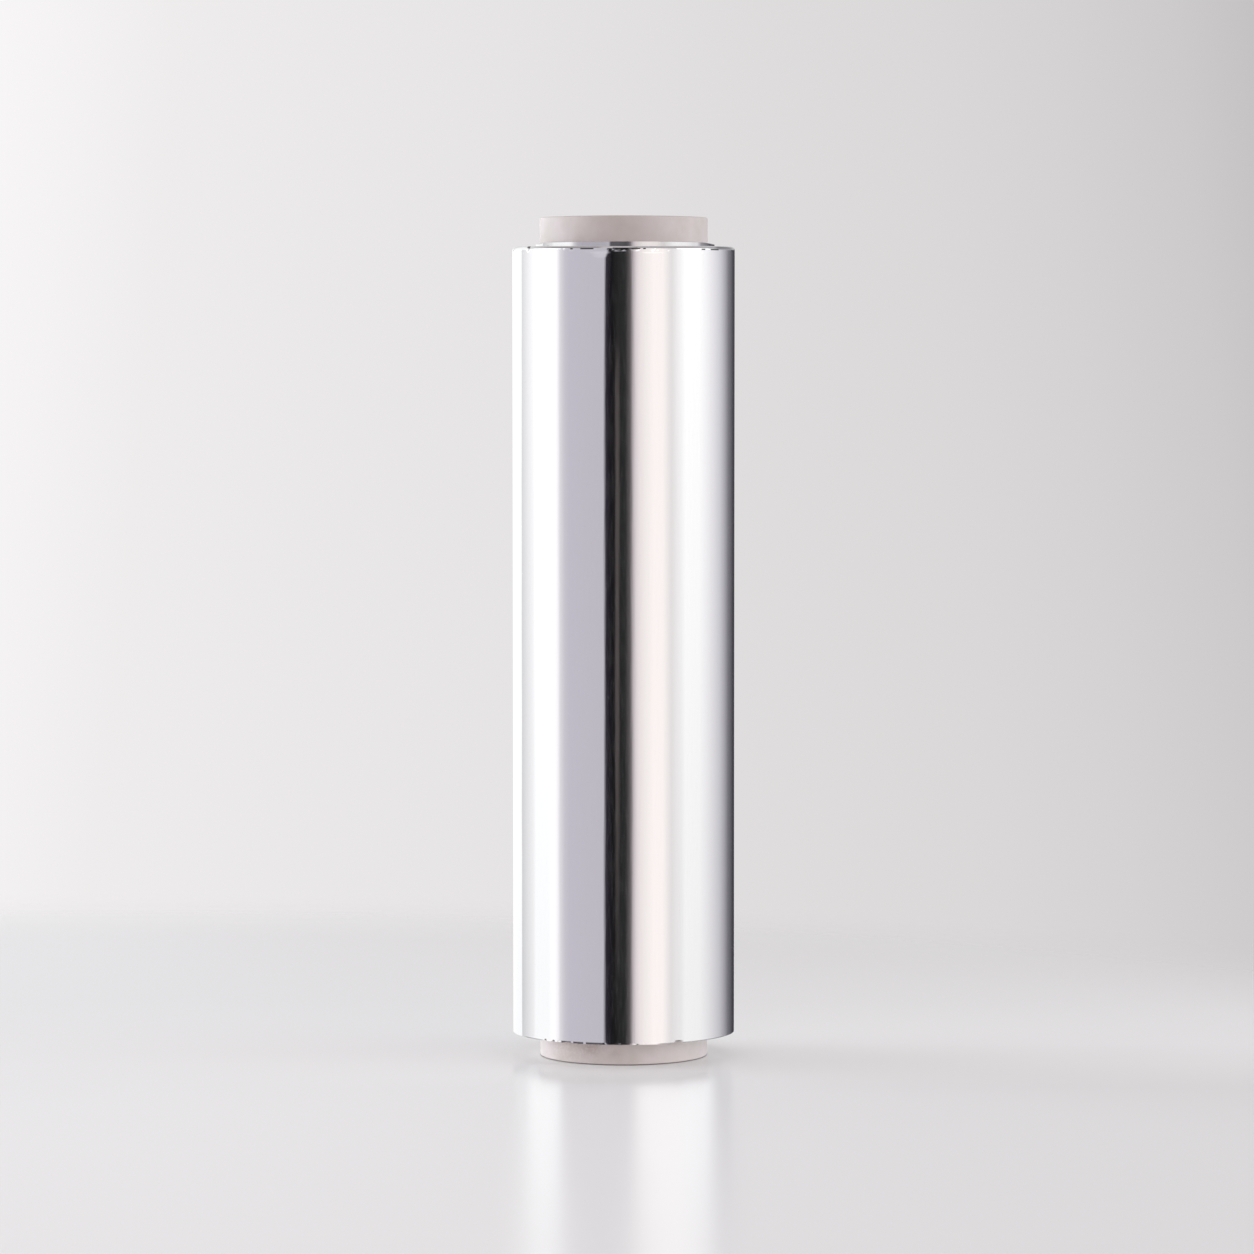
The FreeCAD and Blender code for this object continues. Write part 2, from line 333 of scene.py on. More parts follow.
surface = addNode(tree, "ShaderNodeBsdfPrincipled",
                  {"Base Color": boardColourAndPaintedLight, "Roughness": 0.6, "Specular IOR Level": 0.0,
                   "Coat Weight": table["lacquer"], "Coat Roughness": table["polish"], "Coat IOR": 1.45,
                   "Coat Normal": addNode(tree, "ShaderNodeCombineXYZ", dict(enumerate(lacquerFaces)))})
clear = addNode(tree, "ShaderNodeBsdfTransparent")
fromCentre = addNode(tree, "ShaderNodeVectorMath",
                     {0: where.outputs["Object"], 1: (table["centre"][0], table["centre"][1], 0.0)},
                     operation="DISTANCE")
fadeOut = addNode(tree, "ShaderNodeMapRange",
                  {0: fromCentre.outputs["Value"], 1: table["fade"][0], 2: table["fade"][1]},
                  interpolation_type="SMOOTHSTEP")
lightPath = addNode(tree, "ShaderNodeLightPath")
# looked along flatly the board is a mirror, so the foil sees the studio's panels in it
graze = addNode(tree, "ShaderNodeLayerWeight", {"Blend": 0.5})
grazeShare = addNode(tree, "ShaderNodeMapRange",
                     {0: graze.outputs["Facing"], 1: table["mirrorFrom"][0], 2: table["mirrorFrom"][1]})
mirrored = addNode(tree, "ShaderNodeMath",
                   {0: lightPath.outputs["Is Glossy Ray"], 1: grazeShare}, operation="MULTIPLY")
faded = addNode(tree, "ShaderNodeMath",
                {0: lightPath.outputs["Is Camera Ray"], 1: fadeOut}, operation="MULTIPLY")
clearShare = addNode(tree, "ShaderNodeMath", {0: mirrored, 1: faded}, operation="MAXIMUM")
board = addNode(tree, "ShaderNodeMixShader", {0: clearShare, 1: surface, 2: clear})
addNode(tree, "ShaderNodeOutputMaterial", {0: board})
tabletopMesh.materials.append(lacqueredBoard)

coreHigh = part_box("core_tube")[1] * 1000         # millimetres
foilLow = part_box("foil_winding")[0] * 1000
foil = {
    "coreRadius": coreHigh.x,
    "outerRadius": -foilLow.x,
    "footHeight": foilLow.z,
    "wallLength": 299.25,    # millimetres, as all lengths here; the rest of the width rolls into the lip
    "lapStep": 0.12,
    "lapBearing": -152.0,    # where the loose end lies: degrees from the front, the camera's left negative
    "lipBand": 1.35,         # the outer turns' top edges roll inwards over this band
    "lipRise": 0.80,
    "lipSlant": math.radians(42),
    "sideRise": 0.75,        # how much higher the turns stand on the left and right than in front
    "collarBand": 2.05,
    "collarRise": 2.1,
    "collarOffCentre": 0.55,
    "collarLean": 0.022,     # how much narrower the collar is at its top
    "collarWallShare": 0.96,     # share of the rise that the collar's wall takes, and not its crown
    "collarDroop": 0.35,     # how much smaller that share is at the two sides
    "drawnTurn": 0.58,       # radial spacing of the turns as drawn; the foil itself is far thinner
    "turnSlip": 0.10,
    "wallWave": 0.012,
    "rimBead": 0.012,        # rolled bead just under each rim
    "rimBeadSpan": 2.2,
    "rimKnock": 0.05,
    "rimRagged": 0.05,
    "wearReach": 1.3,        # how far from a rim its wear goes
    "seed": 4.0,
}
foilRows = {"edge": 20, "wall": 14, "face": 55, "inner": 2}
faceRows = {"lip": 7, "flat": 35, "collar": 5, "crown": 8}      # how an end face shares its rows
foilColumns = 580
edgeSpan = 3.6               # millimetres at each end of the wall that the close rows cover
lapSpan = 0.06               # degrees that the step of the loose end takes
droopFrom = 0.86             # sine of the bearing past which the collar's shoulder sinks
faceFades = {                # shares of the way in across an end face between which these come or go
    "turns": (0.08, 0.18),
    "wall": (0.0, 0.06),
    "dents": (0.0, 0.22),
}
foilNoises = {               # scale per millimetre (per turn for the turns), detail, roughness, range used
    "turns": (0.83, 2.0, 0.70, (0.20, 0.80)),
    "knocks": (0.55, 3.0, 0.62, (0.50, 0.72)),
    "patches": (0.11, 1.0, 0.50, (0.35, 0.65)),
    "ragged": (0.90, 2.0, 0.60, (0.42, 0.70)),
    "waves": (0.085, 1.5, 0.50, (0.20, 0.80)),
}
waveStretch = 0.16           # the slow waves run along the roll

# Dents that stand out: bearing in degrees, height above the foot of the foil, half width and half
# height, push inwards, and lift along the roll
foilDents = [
    (28.9, 0.0, 3.2, 0.9, 0.06, 0.80),      # lens-shaped notch in the foot rim
    (15.8, 0.0, 7.0, 0.5, 0.00, -0.10),     # loose flakes of foil beside it
    (-2.0, 0.0, 1.8, 0.7, 0.06, -0.10),
    (6.0, 0.0, 1.2, 0.6, 0.10, -0.12),
    (-30.0, 0.0, 2.8, 0.6, 0.03, 0.35),     # worn stretches of the foot rim
    (-39.5, 0.0, 0.9, 0.5, 0.03, 0.40),
    (-45.0, 0.0, 0.9, 0.5, 0.03, 0.35),
    (-58.0, 299.4, 0.9, 1.3, 0.35, -0.60),  # nick in the top lip
    (-12.4, 299.0, 4.5, 4.6, 0.085, 0.0),   # shallow dent under the top lip
    (-0.9, 298.4, 5.4, 0.35, 0.0036, 0.0),  # crease under the lip
    (-11.0, 299.8, 1.2, 0.6, 0.02, 0.05),   # crumpled stretch of the lip
    (-7.4, 299.8, 1.4, 0.6, 0.00, 0.20),
    (-3.6, 299.8, 1.3, 0.6, 0.02, 0.12),
    (0.4, 299.8, 1.5, 0.6, 0.00, 0.22),
    (4.0, 299.8, 1.1, 0.6, 0.02, 0.05),
]

print("stage: foil winding")


def rowShares(tree, along, rows):
    # how far a point has come through each run of rows, from 0 to 1
    shares = []
    for i, count in enumerate(rows):
        done = sum(rows[:i])
        shares.append(addNode(tree, "ShaderNodeMapRange",
                              {0: along, 1: done / sum(rows), 2: (done + count) / sum(rows)}))
    return shares


def buildWindingTree():
    # Every turn has the same width, so one slip gives both ends of the roll: what stands proud
    # at the top is missing at the foot.
    tree = bpy.data.node_groups.new("woundFoil", "GeometryNodeTree")
    tree.interface.new_socket(name="Geometry", in_out="INPUT", socket_type="NodeSocketGeometry")
    tree.interface.new_socket(name="Geometry", in_out="OUTPUT", socket_type="NodeSocketGeometry")
    for name in foil:
        tree.interface.new_socket(name=name, in_out="INPUT", socket_type="NodeSocketFloat")
    tree.interface.new_socket(name="material", in_out="INPUT", socket_type="NodeSocketMaterial")
    given = addNode(tree, "NodeGroupInput").outputs
    zones = [foilRows[zone] for zone in ("edge", "wall", "edge", "face", "inner", "face")]
    grid = addNode(tree, "GeometryNodeMeshGrid",
                   {"Size X": 1.0, "Size Y": 1.0,
                    "Vertices X": foilColumns + 1, "Vertices Y": sum(zones) + 1})
    spot = addNode(tree, "ShaderNodeSeparateXYZ", {0: addNode(tree, "GeometryNodeInputPosition")})

    # across the grid: once round the roll from the loose end, with the last column closing the lap
    column = addNode(tree, "ShaderNodeMath", {0: spot.outputs["X"], 1: 0.5}, operation="ADD")
    turned = addNode(tree, "ShaderNodeMath",
                     {0: column, 1: foilColumns / (foilColumns - 1)}, operation="MULTIPLY", use_clamp=True)
    atLap = addNode(tree, "ShaderNodeMath",
                    {0: column, 1: 1 - 0.5 / foilColumns}, operation="GREATER_THAN")
    notLap = addNode(tree, "ShaderNodeMath", {0: 1.0, 1: atLap}, operation="SUBTRACT")
    wound = addNode(tree, "ShaderNodeMath", {0: turned, 1: notLap}, operation="MULTIPLY")
    lapTurn = math.radians(lapSpan)
    lapStart = addNode(tree, "ShaderNodeMath", {0: given["lapBearing"]}, operation="RADIANS")
    swept = addNode(tree, "ShaderNodeMath",
                    {0: turned, 1: 2 * math.pi - lapTurn, 2: lapStart}, operation="MULTIPLY_ADD")
    bearing = addNode(tree, "ShaderNodeMath", {0: atLap, 1: lapTurn, 2: swept}, operation="MULTIPLY_ADD")
    sine, cosine = sineAndCosine(tree, bearing)

    # up the grid: the outside wall, the top face inwards, the wall on the core, the foot face outwards
    row = addNode(tree, "ShaderNodeMath", {0: spot.outputs["Y"], 1: 0.5}, operation="ADD")
    footEdgePart, wallPart, topEdgePart, topPart, innerPart, footPart = rowShares(tree, row, zones)
    inwards = addNode(tree, "ShaderNodeMath", {0: topPart, 1: footPart}, operation="SUBTRACT")
    edgeParts = addNode(tree, "ShaderNodeMath", {0: footEdgePart, 1: topEdgePart}, operation="ADD")
    upEdges = addNode(tree, "ShaderNodeMath", {0: edgeParts, 1: edgeSpan}, operation="MULTIPLY")
    middleSpan = addNode(tree, "ShaderNodeMath",
                         {0: given["wallLength"], 1: 2 * edgeSpan}, operation="SUBTRACT")
    upWall = addNode(tree, "ShaderNodeMath",
                     {0: wallPart, 1: middleSpan, 2: upEdges}, operation="MULTIPLY_ADD")
    backDown = addNode(tree, "ShaderNodeMath", {0: innerPart, 1: given["wallLength"]}, operation="MULTIPLY")
    wallHeight = addNode(tree, "ShaderNodeMath", {0: upWall, 1: backDown}, operation="SUBTRACT")

    # across an end face: the rolled lip, the flat of the turns, the collar's wall and its crown
    lipPart, flatPart, collarPart, crownPart = rowShares(tree, inwards, list(faceRows.values()))
    # the lip starts at a slant in front, where it is creased, and is round at the sides
    frontness = addNode(tree, "ShaderNodeMath", {0: cosine, 1: cosine}, operation="MULTIPLY")
    slant = addNode(tree, "ShaderNodeMath", {0: frontness, 1: given["lipSlant"]}, operation="MULTIPLY")
    slantSine, slantCosine = sineAndCosine(tree, slant)
    restOfTurn = addNode(tree, "ShaderNodeMath", {0: math.pi / 2, 1: slant}, operation="SUBTRACT")
    lipTurn = addNode(tree, "ShaderNodeMath",
                      {0: lipPart, 1: restOfTurn, 2: slant}, operation="MULTIPLY_ADD")
    turnSine, turnCosine = sineAndCosine(tree, lipTurn)
    sineGain = addNode(tree, "ShaderNodeMath", {0: turnSine, 1: slantSine}, operation="SUBTRACT")
    sineSpan = addNode(tree, "ShaderNodeMath", {0: 1.0, 1: slantSine}, operation="SUBTRACT")
    lipSine = addNode(tree, "ShaderNodeMath", {0: sineGain, 1: sineSpan}, operation="DIVIDE")
    cosineLoss = addNode(tree, "ShaderNodeMath", {0: slantCosine, 1: turnCosine}, operation="SUBTRACT")
    lipVersine = addNode(tree, "ShaderNodeMath", {0: cosineLoss, 1: slantCosine}, operation="DIVIDE")
    atFoot = addNode(tree, "ShaderNodeMath", {0: footPart, 1: 0.0}, operation="GREATER_THAN")
    lipIn = addNode(tree, "ShaderNodeMix", {"Factor": atFoot, 2: lipVersine, 3: lipSine})
    lipAlong = addNode(tree, "ShaderNodeMix", {"Factor": atFoot, 2: lipSine, 3: lipVersine})
    crownTurn = addNode(tree, "ShaderNodeMath", {0: crownPart, 1: math.pi / 2}, operation="MULTIPLY")
    crownUp, crownCosine = sineAndCosine(tree, crownTurn)
    crownIn = addNode(tree, "ShaderNodeMath", {0: 1.0, 1: crownCosine}, operation="SUBTRACT")

    # radius: the outside shrinks by one lap step over a turn, and the collar stands off centre
    lapLoss = addNode(tree, "ShaderNodeMath", {0: given["lapStep"], 1: wound}, operation="MULTIPLY")
    outer = addNode(tree, "ShaderNodeMath", {0: given["outerRadius"], 1: lapLoss}, operation="SUBTRACT")
    collarMean = addNode(tree, "ShaderNodeMath",
                         {0: given["coreRadius"], 1: given["collarBand"]}, operation="ADD")
    collarEdge = addNode(tree, "ShaderNodeMath",
                         {0: sine, 1: given["collarOffCentre"], 2: collarMean}, operation="MULTIPLY_ADD")
    lipReach = addNode(tree, "ShaderNodeMath", {0: given["lipBand"], 1: lipIn}, operation="MULTIPLY")
    acrossLip = addNode(tree, "ShaderNodeMath", {0: outer, 1: lipReach}, operation="SUBTRACT")
    lipInner = addNode(tree, "ShaderNodeMath", {0: outer, 1: given["lipBand"]}, operation="SUBTRACT")
    flatSpan = addNode(tree, "ShaderNodeMath", {0: lipInner, 1: collarEdge}, operation="SUBTRACT")
    flatReach = addNode(tree, "ShaderNodeMath", {0: flatPart, 1: flatSpan}, operation="MULTIPLY")
    acrossFlat = addNode(tree, "ShaderNodeMath", {0: acrossLip, 1: flatReach}, operation="SUBTRACT")
    leanReach = addNode(tree, "ShaderNodeMath",
                        {0: collarPart, 1: given["collarLean"]}, operation="MULTIPLY")
    acrossCollar = addNode(tree, "ShaderNodeMath", {0: acrossFlat, 1: leanReach}, operation="SUBTRACT")
    crownEdge = addNode(tree, "ShaderNodeMath",
                        {0: collarEdge, 1: given["collarLean"]}, operation="SUBTRACT")
    crownSpan = addNode(tree, "ShaderNodeMath",
                        {0: crownEdge, 1: given["coreRadius"]}, operation="SUBTRACT")
    crownReach = addNode(tree, "ShaderNodeMath", {0: crownIn, 1: crownSpan}, operation="MULTIPLY")
    radius = addNode(tree, "ShaderNodeMath", {0: acrossCollar, 1: crownReach}, operation="SUBTRACT")

    # slip of each turn along the core; the collar's wall takes most of its rise and the crown the rest
    sideways = addNode(tree, "ShaderNodeMath", {0: sine}, operation="ABSOLUTE")
    atSides = addNode(tree, "ShaderNodeMapRange", {0: sideways, 1: droopFrom},
                      interpolation_type="SMOOTHSTEP")
    droop = addNode(tree, "ShaderNodeMath", {0: atSides, 1: given["collarDroop"]}, operation="MULTIPLY")
    wallShare = addNode(tree, "ShaderNodeMath",
                        {0: given["collarWallShare"], 1: droop}, operation="SUBTRACT")
    crownShare = addNode(tree, "ShaderNodeMath", {0: 1.0, 1: wallShare}, operation="SUBTRACT")
    crownRise = addNode(tree, "ShaderNodeMath", {0: crownUp, 1: crownShare}, operation="MULTIPLY")
    collarShare = addNode(tree, "ShaderNodeMath",
                          {0: collarPart, 1: wallShare, 2: crownRise}, operation="MULTIPLY_ADD")
    bothSides = addNode(tree, "ShaderNodeMath", {0: sine, 1: sine}, operation="MULTIPLY")
    higher = addNode(tree, "ShaderNodeMath", {0: bothSides, 1: given["sideRise"]}, operation="MULTIPLY")
    lipTop = addNode(tree, "ShaderNodeMath", {0: higher, 1: given["lipRise"]}, operation="ADD")
    lipUp = addNode(tree, "ShaderNodeMath", {0: lipAlong, 1: lipTop}, operation="MULTIPLY")
    collarTop = addNode(tree, "ShaderNodeMath", {0: given["collarRise"], 1: higher}, operation="SUBTRACT")
    collarUp = addNode(tree, "ShaderNodeMath", {0: collarShare, 1: collarTop}, operation="MULTIPLY")
    formSlip = addNode(tree, "ShaderNodeMath", {0: lipUp, 1: collarUp}, operation="ADD")
    aboveCore = addNode(tree, "ShaderNodeMath", {0: radius, 1: given["coreRadius"]}, operation="SUBTRACT")
    turnsOut = addNode(tree, "ShaderNodeMath", {0: aboveCore, 1: given["drawnTurn"]}, operation="DIVIDE")
    turnsWound = addNode(tree, "ShaderNodeMath", {0: turnsOut, 1: wound}, operation="ADD")
    turnNumber = addNode(tree, "ShaderNodeMath", {0: turnsWound}, operation="ROUND")
    alongFoil = addNode(tree, "ShaderNodeMath", {0: turnNumber, 1: wound}, operation="SUBTRACT")
    scale, detail, roughness, (least, most) = foilNoises["turns"]
    turnPlace = addNode(tree, "ShaderNodeMath", {0: alongFoil, 1: given["seed"]}, operation="ADD")
    turnNoise = addNode(tree, "ShaderNodeTexNoise",
                        {"W": turnPlace, "Scale": scale, "Detail": detail, "Roughness": roughness},
                        noise_dimensions="1D")
    turnWander = addNode(tree, "ShaderNodeMapRange",
                         {0: turnNoise.outputs["Fac"], 1: least, 2: most, 3: -2.0, 4: 0.0})
    turnFade = addNode(tree, "ShaderNodeMapRange",
                       {0: inwards, 1: faceFades["turns"][0], 2: faceFades["turns"][1]})
    turnSize = addNode(tree, "ShaderNodeMath", {0: turnWander, 1: given["turnSlip"]}, operation="MULTIPLY")
    turnAmount = addNode(tree, "ShaderNodeMath", {0: turnSize, 1: turnFade}, operation="MULTIPLY")
    slip = addNode(tree, "ShaderNodeMath", {0: formSlip, 1: turnAmount}, operation="ADD")
    aboveTable = addNode(tree, "ShaderNodeMath", {0: wallHeight, 1: given["footHeight"]}, operation="ADD")
    height = addNode(tree, "ShaderNodeMath", {0: aboveTable, 1: slip}, operation="ADD")

    # where a point is before any wear, for the noises that make the wear
    towardsRight = addNode(tree, "ShaderNodeMath", {0: radius, 1: sine}, operation="MULTIPLY")
    backRadius = addNode(tree, "ShaderNodeMath", {0: radius, 1: -1.0}, operation="MULTIPLY")
    towardsBack = addNode(tree, "ShaderNodeMath", {0: backRadius, 1: cosine}, operation="MULTIPLY")
    plain = addNode(tree, "ShaderNodeCombineXYZ", {0: towardsRight, 1: towardsBack, 2: height})
    longPlain = addNode(tree, "ShaderNodeVectorMath", {0: plain, 1: (1.0, 1.0, waveStretch)},
                        operation="MULTIPLY")
    otherSeed = addNode(tree, "ShaderNodeMath", {0: given["seed"], 1: 3.0}, operation="ADD")
    wear = {}
    for name, place, seed, atLeast, atMost in (
            ("knocks", plain, given["seed"], 0.0, -1.0), ("patches", plain, given["seed"], 0.0, 0.5),
            ("ragged", plain, otherSeed, 0.0, 1.0), ("waves", longPlain, given["seed"], -2.0, 0.0)):
        scale, detail, roughness, (least, most) = foilNoises[name]
        wearNoise = addNode(tree, "ShaderNodeTexNoise",
                            {"Vector": place, "Scale": scale, "Detail": detail, "Roughness": roughness,
                             "W": seed}, noise_dimensions="4D")
        wear[name] = addNode(tree, "ShaderNodeMapRange",
                             {0: wearNoise.outputs["Fac"], 1: least, 2: most, 3: atLeast, 4: atMost})

    # wear near both rims, which fades away from the edge
    toTop = addNode(tree, "ShaderNodeMath", {0: given["wallLength"], 1: wallHeight}, operation="SUBTRACT")
    toRim = addNode(tree, "ShaderNodeMath", {0: wallHeight, 1: toTop}, operation="MINIMUM")
    inFromRim = addNode(tree, "ShaderNodeMath", {0: outer, 1: radius}, operation="SUBTRACT")
    fromEdge = addNode(tree, "ShaderNodeMath", {0: toRim, 1: inFromRim}, operation="ADD")
    nearEdge = addNode(tree, "ShaderNodeMapRange", {0: fromEdge, 2: given["wearReach"], 3: 1.0, 4: 0.0},
                       interpolation_type="SMOOTHSTEP")
    knockSize = addNode(tree, "ShaderNodeMath", {0: nearEdge, 1: given["rimKnock"]}, operation="MULTIPLY")
    knockIn = addNode(tree, "ShaderNodeMath", {0: wear["knocks"], 1: knockSize}, operation="MULTIPLY")
    onWall = addNode(tree, "ShaderNodeMapRange",
                     {0: inwards, 1: faceFades["wall"][0], 2: faceFades["wall"][1], 3: 1.0, 4: 0.0})
    beadTurn = addNode(tree, "ShaderNodeMapRange", {0: toRim, 2: given["rimBeadSpan"], 4: 2 * math.pi})
    beadCosine = addNode(tree, "ShaderNodeMath", {0: beadTurn}, operation="COSINE")
    beadWave = addNode(tree, "ShaderNodeMath", {0: beadCosine, 1: 1.0}, operation="SUBTRACT")
    beadShare = addNode(tree, "ShaderNodeMath", {0: wear["patches"], 1: onWall}, operation="MULTIPLY")
    beadSize = addNode(tree, "ShaderNodeMath", {0: beadShare, 1: given["rimBead"]}, operation="MULTIPLY")
    beadIn = addNode(tree, "ShaderNodeMath", {0: beadWave, 1: beadSize}, operation="MULTIPLY")
    inOrOut = addNode(tree, "ShaderNodeMapRange",
                      {0: wallHeight, 2: given["wallLength"], 3: 1.0, 4: -1.0})
    raggedReach = addNode(tree, "ShaderNodeMath",
                          {0: nearEdge, 1: given["rimRagged"]}, operation="MULTIPLY")
    raggedSize = addNode(tree, "ShaderNodeMath", {0: raggedReach, 1: inOrOut}, operation="MULTIPLY")
    lift = addNode(tree, "ShaderNodeMath", {0: wear["ragged"], 1: raggedSize}, operation="MULTIPLY")

    # slow lengthwise waves of the outside
    waveSize = addNode(tree, "ShaderNodeMath",
                       {0: wear["waves"], 1: given["wallWave"]}, operation="MULTIPLY")
    waveIn = addNode(tree, "ShaderNodeMath", {0: waveSize, 1: onWall}, operation="MULTIPLY")
    push = addNode(tree, "ShaderNodeMath", {0: knockIn, 1: waveIn}, operation="ADD")
    push = addNode(tree, "ShaderNodeMath", {0: push, 1: beadIn}, operation="ADD")

    # the dents that stand out, each a soft oval on the unrolled wall
    dentFade = addNode(tree, "ShaderNodeMapRange",
                       {0: inwards, 1: faceFades["dents"][0], 2: faceFades["dents"][1], 3: 1.0, 4: 0.0})
    for dentBearing, dentHeight, halfWidth, halfHeight, pushIn, liftUp in foilDents:
        offRound = addNode(tree, "ShaderNodeMath",
                           {0: bearing, 1: math.radians(dentBearing)}, operation="SUBTRACT")
        offSine, offCosine = sineAndCosine(tree, offRound)
        offArc = addNode(tree, "ShaderNodeMath",
                         {0: offSine, 1: given["outerRadius"]}, operation="MULTIPLY")
        sameSide = addNode(tree, "ShaderNodeMath", {0: offCosine, 1: 0.0}, operation="GREATER_THAN")
        offUp = addNode(tree, "ShaderNodeMath", {0: wallHeight, 1: dentHeight}, operation="SUBTRACT")
        offCentre = addNode(tree, "ShaderNodeCombineXYZ", {0: offArc, 1: offUp})
        inOval = addNode(tree, "ShaderNodeVectorMath",
                         {0: offCentre, 1: (1 / halfWidth, 1 / halfHeight, 0.0)}, operation="MULTIPLY")
        distance = addNode(tree, "ShaderNodeVectorMath", {0: inOval}, operation="LENGTH")
        depth = addNode(tree, "ShaderNodeMapRange", {0: distance.outputs["Value"], 3: 1.0, 4: 0.0},
                        interpolation_type="SMOOTHSTEP")
        depthHere = addNode(tree, "ShaderNodeMath", {0: depth, 1: sameSide}, operation="MULTIPLY")
        share = addNode(tree, "ShaderNodeMath", {0: depthHere, 1: dentFade}, operation="MULTIPLY")
        push = addNode(tree, "ShaderNodeMath", {0: share, 1: -pushIn, 2: push}, operation="MULTIPLY_ADD")
        lift = addNode(tree, "ShaderNodeMath", {0: share, 1: liftUp, 2: lift}, operation="MULTIPLY_ADD")

    # the wear added, never past the outside of the roll
    wornRadius = addNode(tree, "ShaderNodeMath", {0: radius, 1: push}, operation="ADD")
    finalRadius = addNode(tree, "ShaderNodeMath",
                          {0: wornRadius, 1: given["outerRadius"]}, operation="MINIMUM")
    minusRadius = addNode(tree, "ShaderNodeMath", {0: finalRadius, 1: -1.0}, operation="MULTIPLY")
    finalX = addNode(tree, "ShaderNodeMath", {0: finalRadius, 1: sine}, operation="MULTIPLY")
    finalY = addNode(tree, "ShaderNodeMath", {0: minusRadius, 1: cosine}, operation="MULTIPLY")
    finalZ = addNode(tree, "ShaderNodeMath", {0: height, 1: lift}, operation="ADD")
    millimetres = addNode(tree, "ShaderNodeCombineXYZ", {0: finalX, 1: finalY, 2: finalZ})
    metres = addNode(tree, "ShaderNodeVectorMath", {0: millimetres, "Scale": 0.001}, operation="SCALE")
    placed = addNode(tree, "GeometryNodeSetPosition", {"Geometry": grid, "Position": metres})
    closed = addNode(tree, "GeometryNodeMergeByDistance", {"Geometry": placed, "Distance": 0.000002})
    real = addNode(tree, "GeometryNodeRealizeInstances", {0: closed})
    coated = addNode(tree, "GeometryNodeSetMaterial", {"Geometry": real, "Material": given["material"]})
    addNode(tree, "NodeGroupOutput", {0: coated})
    return tree


# Rolled aluminium foil, bright side out: a mirror with faint lengthwise streaks of haze, a few specks,
# and on the end faces the fine lines of the turns.
foilFinish = {
    "colour": "f3f4f5",
    "roughness": 0.035,
    "streak": (1.2, 24.0),       # millimetres round and along the roll
    "streakDepth": 0.0016,       # millimetres
    "hazeStreak": (0.55, 9.0),
    "hazeFrom": (0.42, 0.75),
    "haze": 0.03,                # share of plain scatter in the dullest streaks
    "speckCell": 7.0,            # millimetres between specks
    "speckRadius": 0.35,
    "speckDepth": 0.010,
    "turnLine": 0.26,            # radial spacing of the lines on the end faces
    "turnLineDepth": 0.03,
    "paintedShade": "302c2e",          # painted shade in the creases under the lip, on the lip and the collar, and along the foot
    "shadeFade": (0.6, 1.3),    # shares of a painted shade line's half thickness between which it fades
    "shadeSteep": (0.80, 0.93), # a face more level than this shows no painted shade
}
wallTop = foil["footHeight"] + foil["wallLength"]
# Painted shade for the creases, the lip, the collar and the foot: height, half thickness, depth of
# shade, softness of the ends in degrees, and the stretches that each runs over, in degrees from the front
foilPaintedShade = {
    "fold": (wallTop + 0.35, 0.30, 0.42, 3.0, ((-176, -150), (-57, -13.5), (96, 141))),
    "foldFront": (wallTop + 0.35, 0.30, 0.18, 3.0, ((7.0, 55),)),
    "foldSide": (wallTop + 0.60, 0.55, 0.48, 3.0, ((57, 96),)),
    "lip": (wallTop - 0.15, 0.22, 1.0, 0.0,
            ((-171, -160), (-133, -129), (-111, -96), (-83, -79), (-28.8, -26.8), (-22.6, -16.8), (6.8, 7.7),
             (8.8, 10.2), (43.4, 45.4), (49.4, 56.5), (74, 77), (98, 112), (127, 131), (146, 158))),
    "lipCentre": (wallTop - 0.12, 0.36, 0.9, 0.0, ((-6.0, 5.8),)),
    "collarFront": (wallTop + 2.0, 1.2, 0.25, 1.5, ((-8.5, 2.5),)),
    "nick": (wallTop + 0.95, 0.55, 0.75, 0.4, ((-59.8, -57.0),)),
    "collarSide": (wallTop + 2.0, 1.2, 0.22, 5.0, ((-74, -12), (8, 50))),
    "collarEnd": (wallTop + 2.0, 1.2, 0.60, 5.0, ((58, 112),)),
    "footShade": (foil["footHeight"] + 0.05, 0.30, 0.50, 3.0, ((-60, -47), (20, 62))),
    "notch": (foil["footHeight"] + 0.75, 0.35, 0.85, 1.2, ((27.9, 30.3),)),
    "foot": (foil["footHeight"] + 0.20, 0.50, 0.85, 0.0,
             ((-166, -149), (-120, -116), (-98, -91), (-45.6, -44.4), (-40.0, -39.0), (-35.0, -29.2),
              (-27.0, -21.4), (-20.4, -10.0), (93, 104), (139, 151))),
}
brightFoil, tree = newMaterial("brightRolledFoil")
inMillimetres, spot, fromAxis = placeOnRoll(tree)
streakNoises = []
for (acrossRoll, alongRoll), detail in ((foilFinish["streak"], 2.5), (foilFinish["hazeStreak"], 3.0)):
    streakPlace = addNode(tree, "ShaderNodeVectorMath",
                          {0: inMillimetres, 1: (1 / acrossRoll, 1 / acrossRoll, 1 / alongRoll)},
                          operation="MULTIPLY")
    streakNoises.append(addNode(tree, "ShaderNodeTexNoise",
                                {"Vector": streakPlace, "Scale": 1.0, "Detail": detail, "Roughness": 0.55}))
speckCells = addNode(tree, "ShaderNodeTexVoronoi",
                     {"Vector": inMillimetres, "Scale": 1 / foilFinish["speckCell"], "Randomness": 1.0})
speck = addNode(tree, "ShaderNodeMapRange",
                {0: speckCells.outputs["Distance"], 2: foilFinish["speckRadius"] / foilFinish["speckCell"],
                 3: foilFinish["speckDepth"], 4: 0.0}, interpolation_type="SMOOTHSTEP")
turnLines = addNode(tree, "ShaderNodeTexNoise",
                    {"W": fromAxis, "Scale": 1 / foilFinish["turnLine"], "Detail": 1.0},
                    noise_dimensions="1D")
streakHeight = addNode(tree, "ShaderNodeMath",
                       {0: streakNoises[0].outputs["Fac"], 1: foilFinish["streakDepth"] * 4, 2: speck},
                       operation="MULTIPLY_ADD")
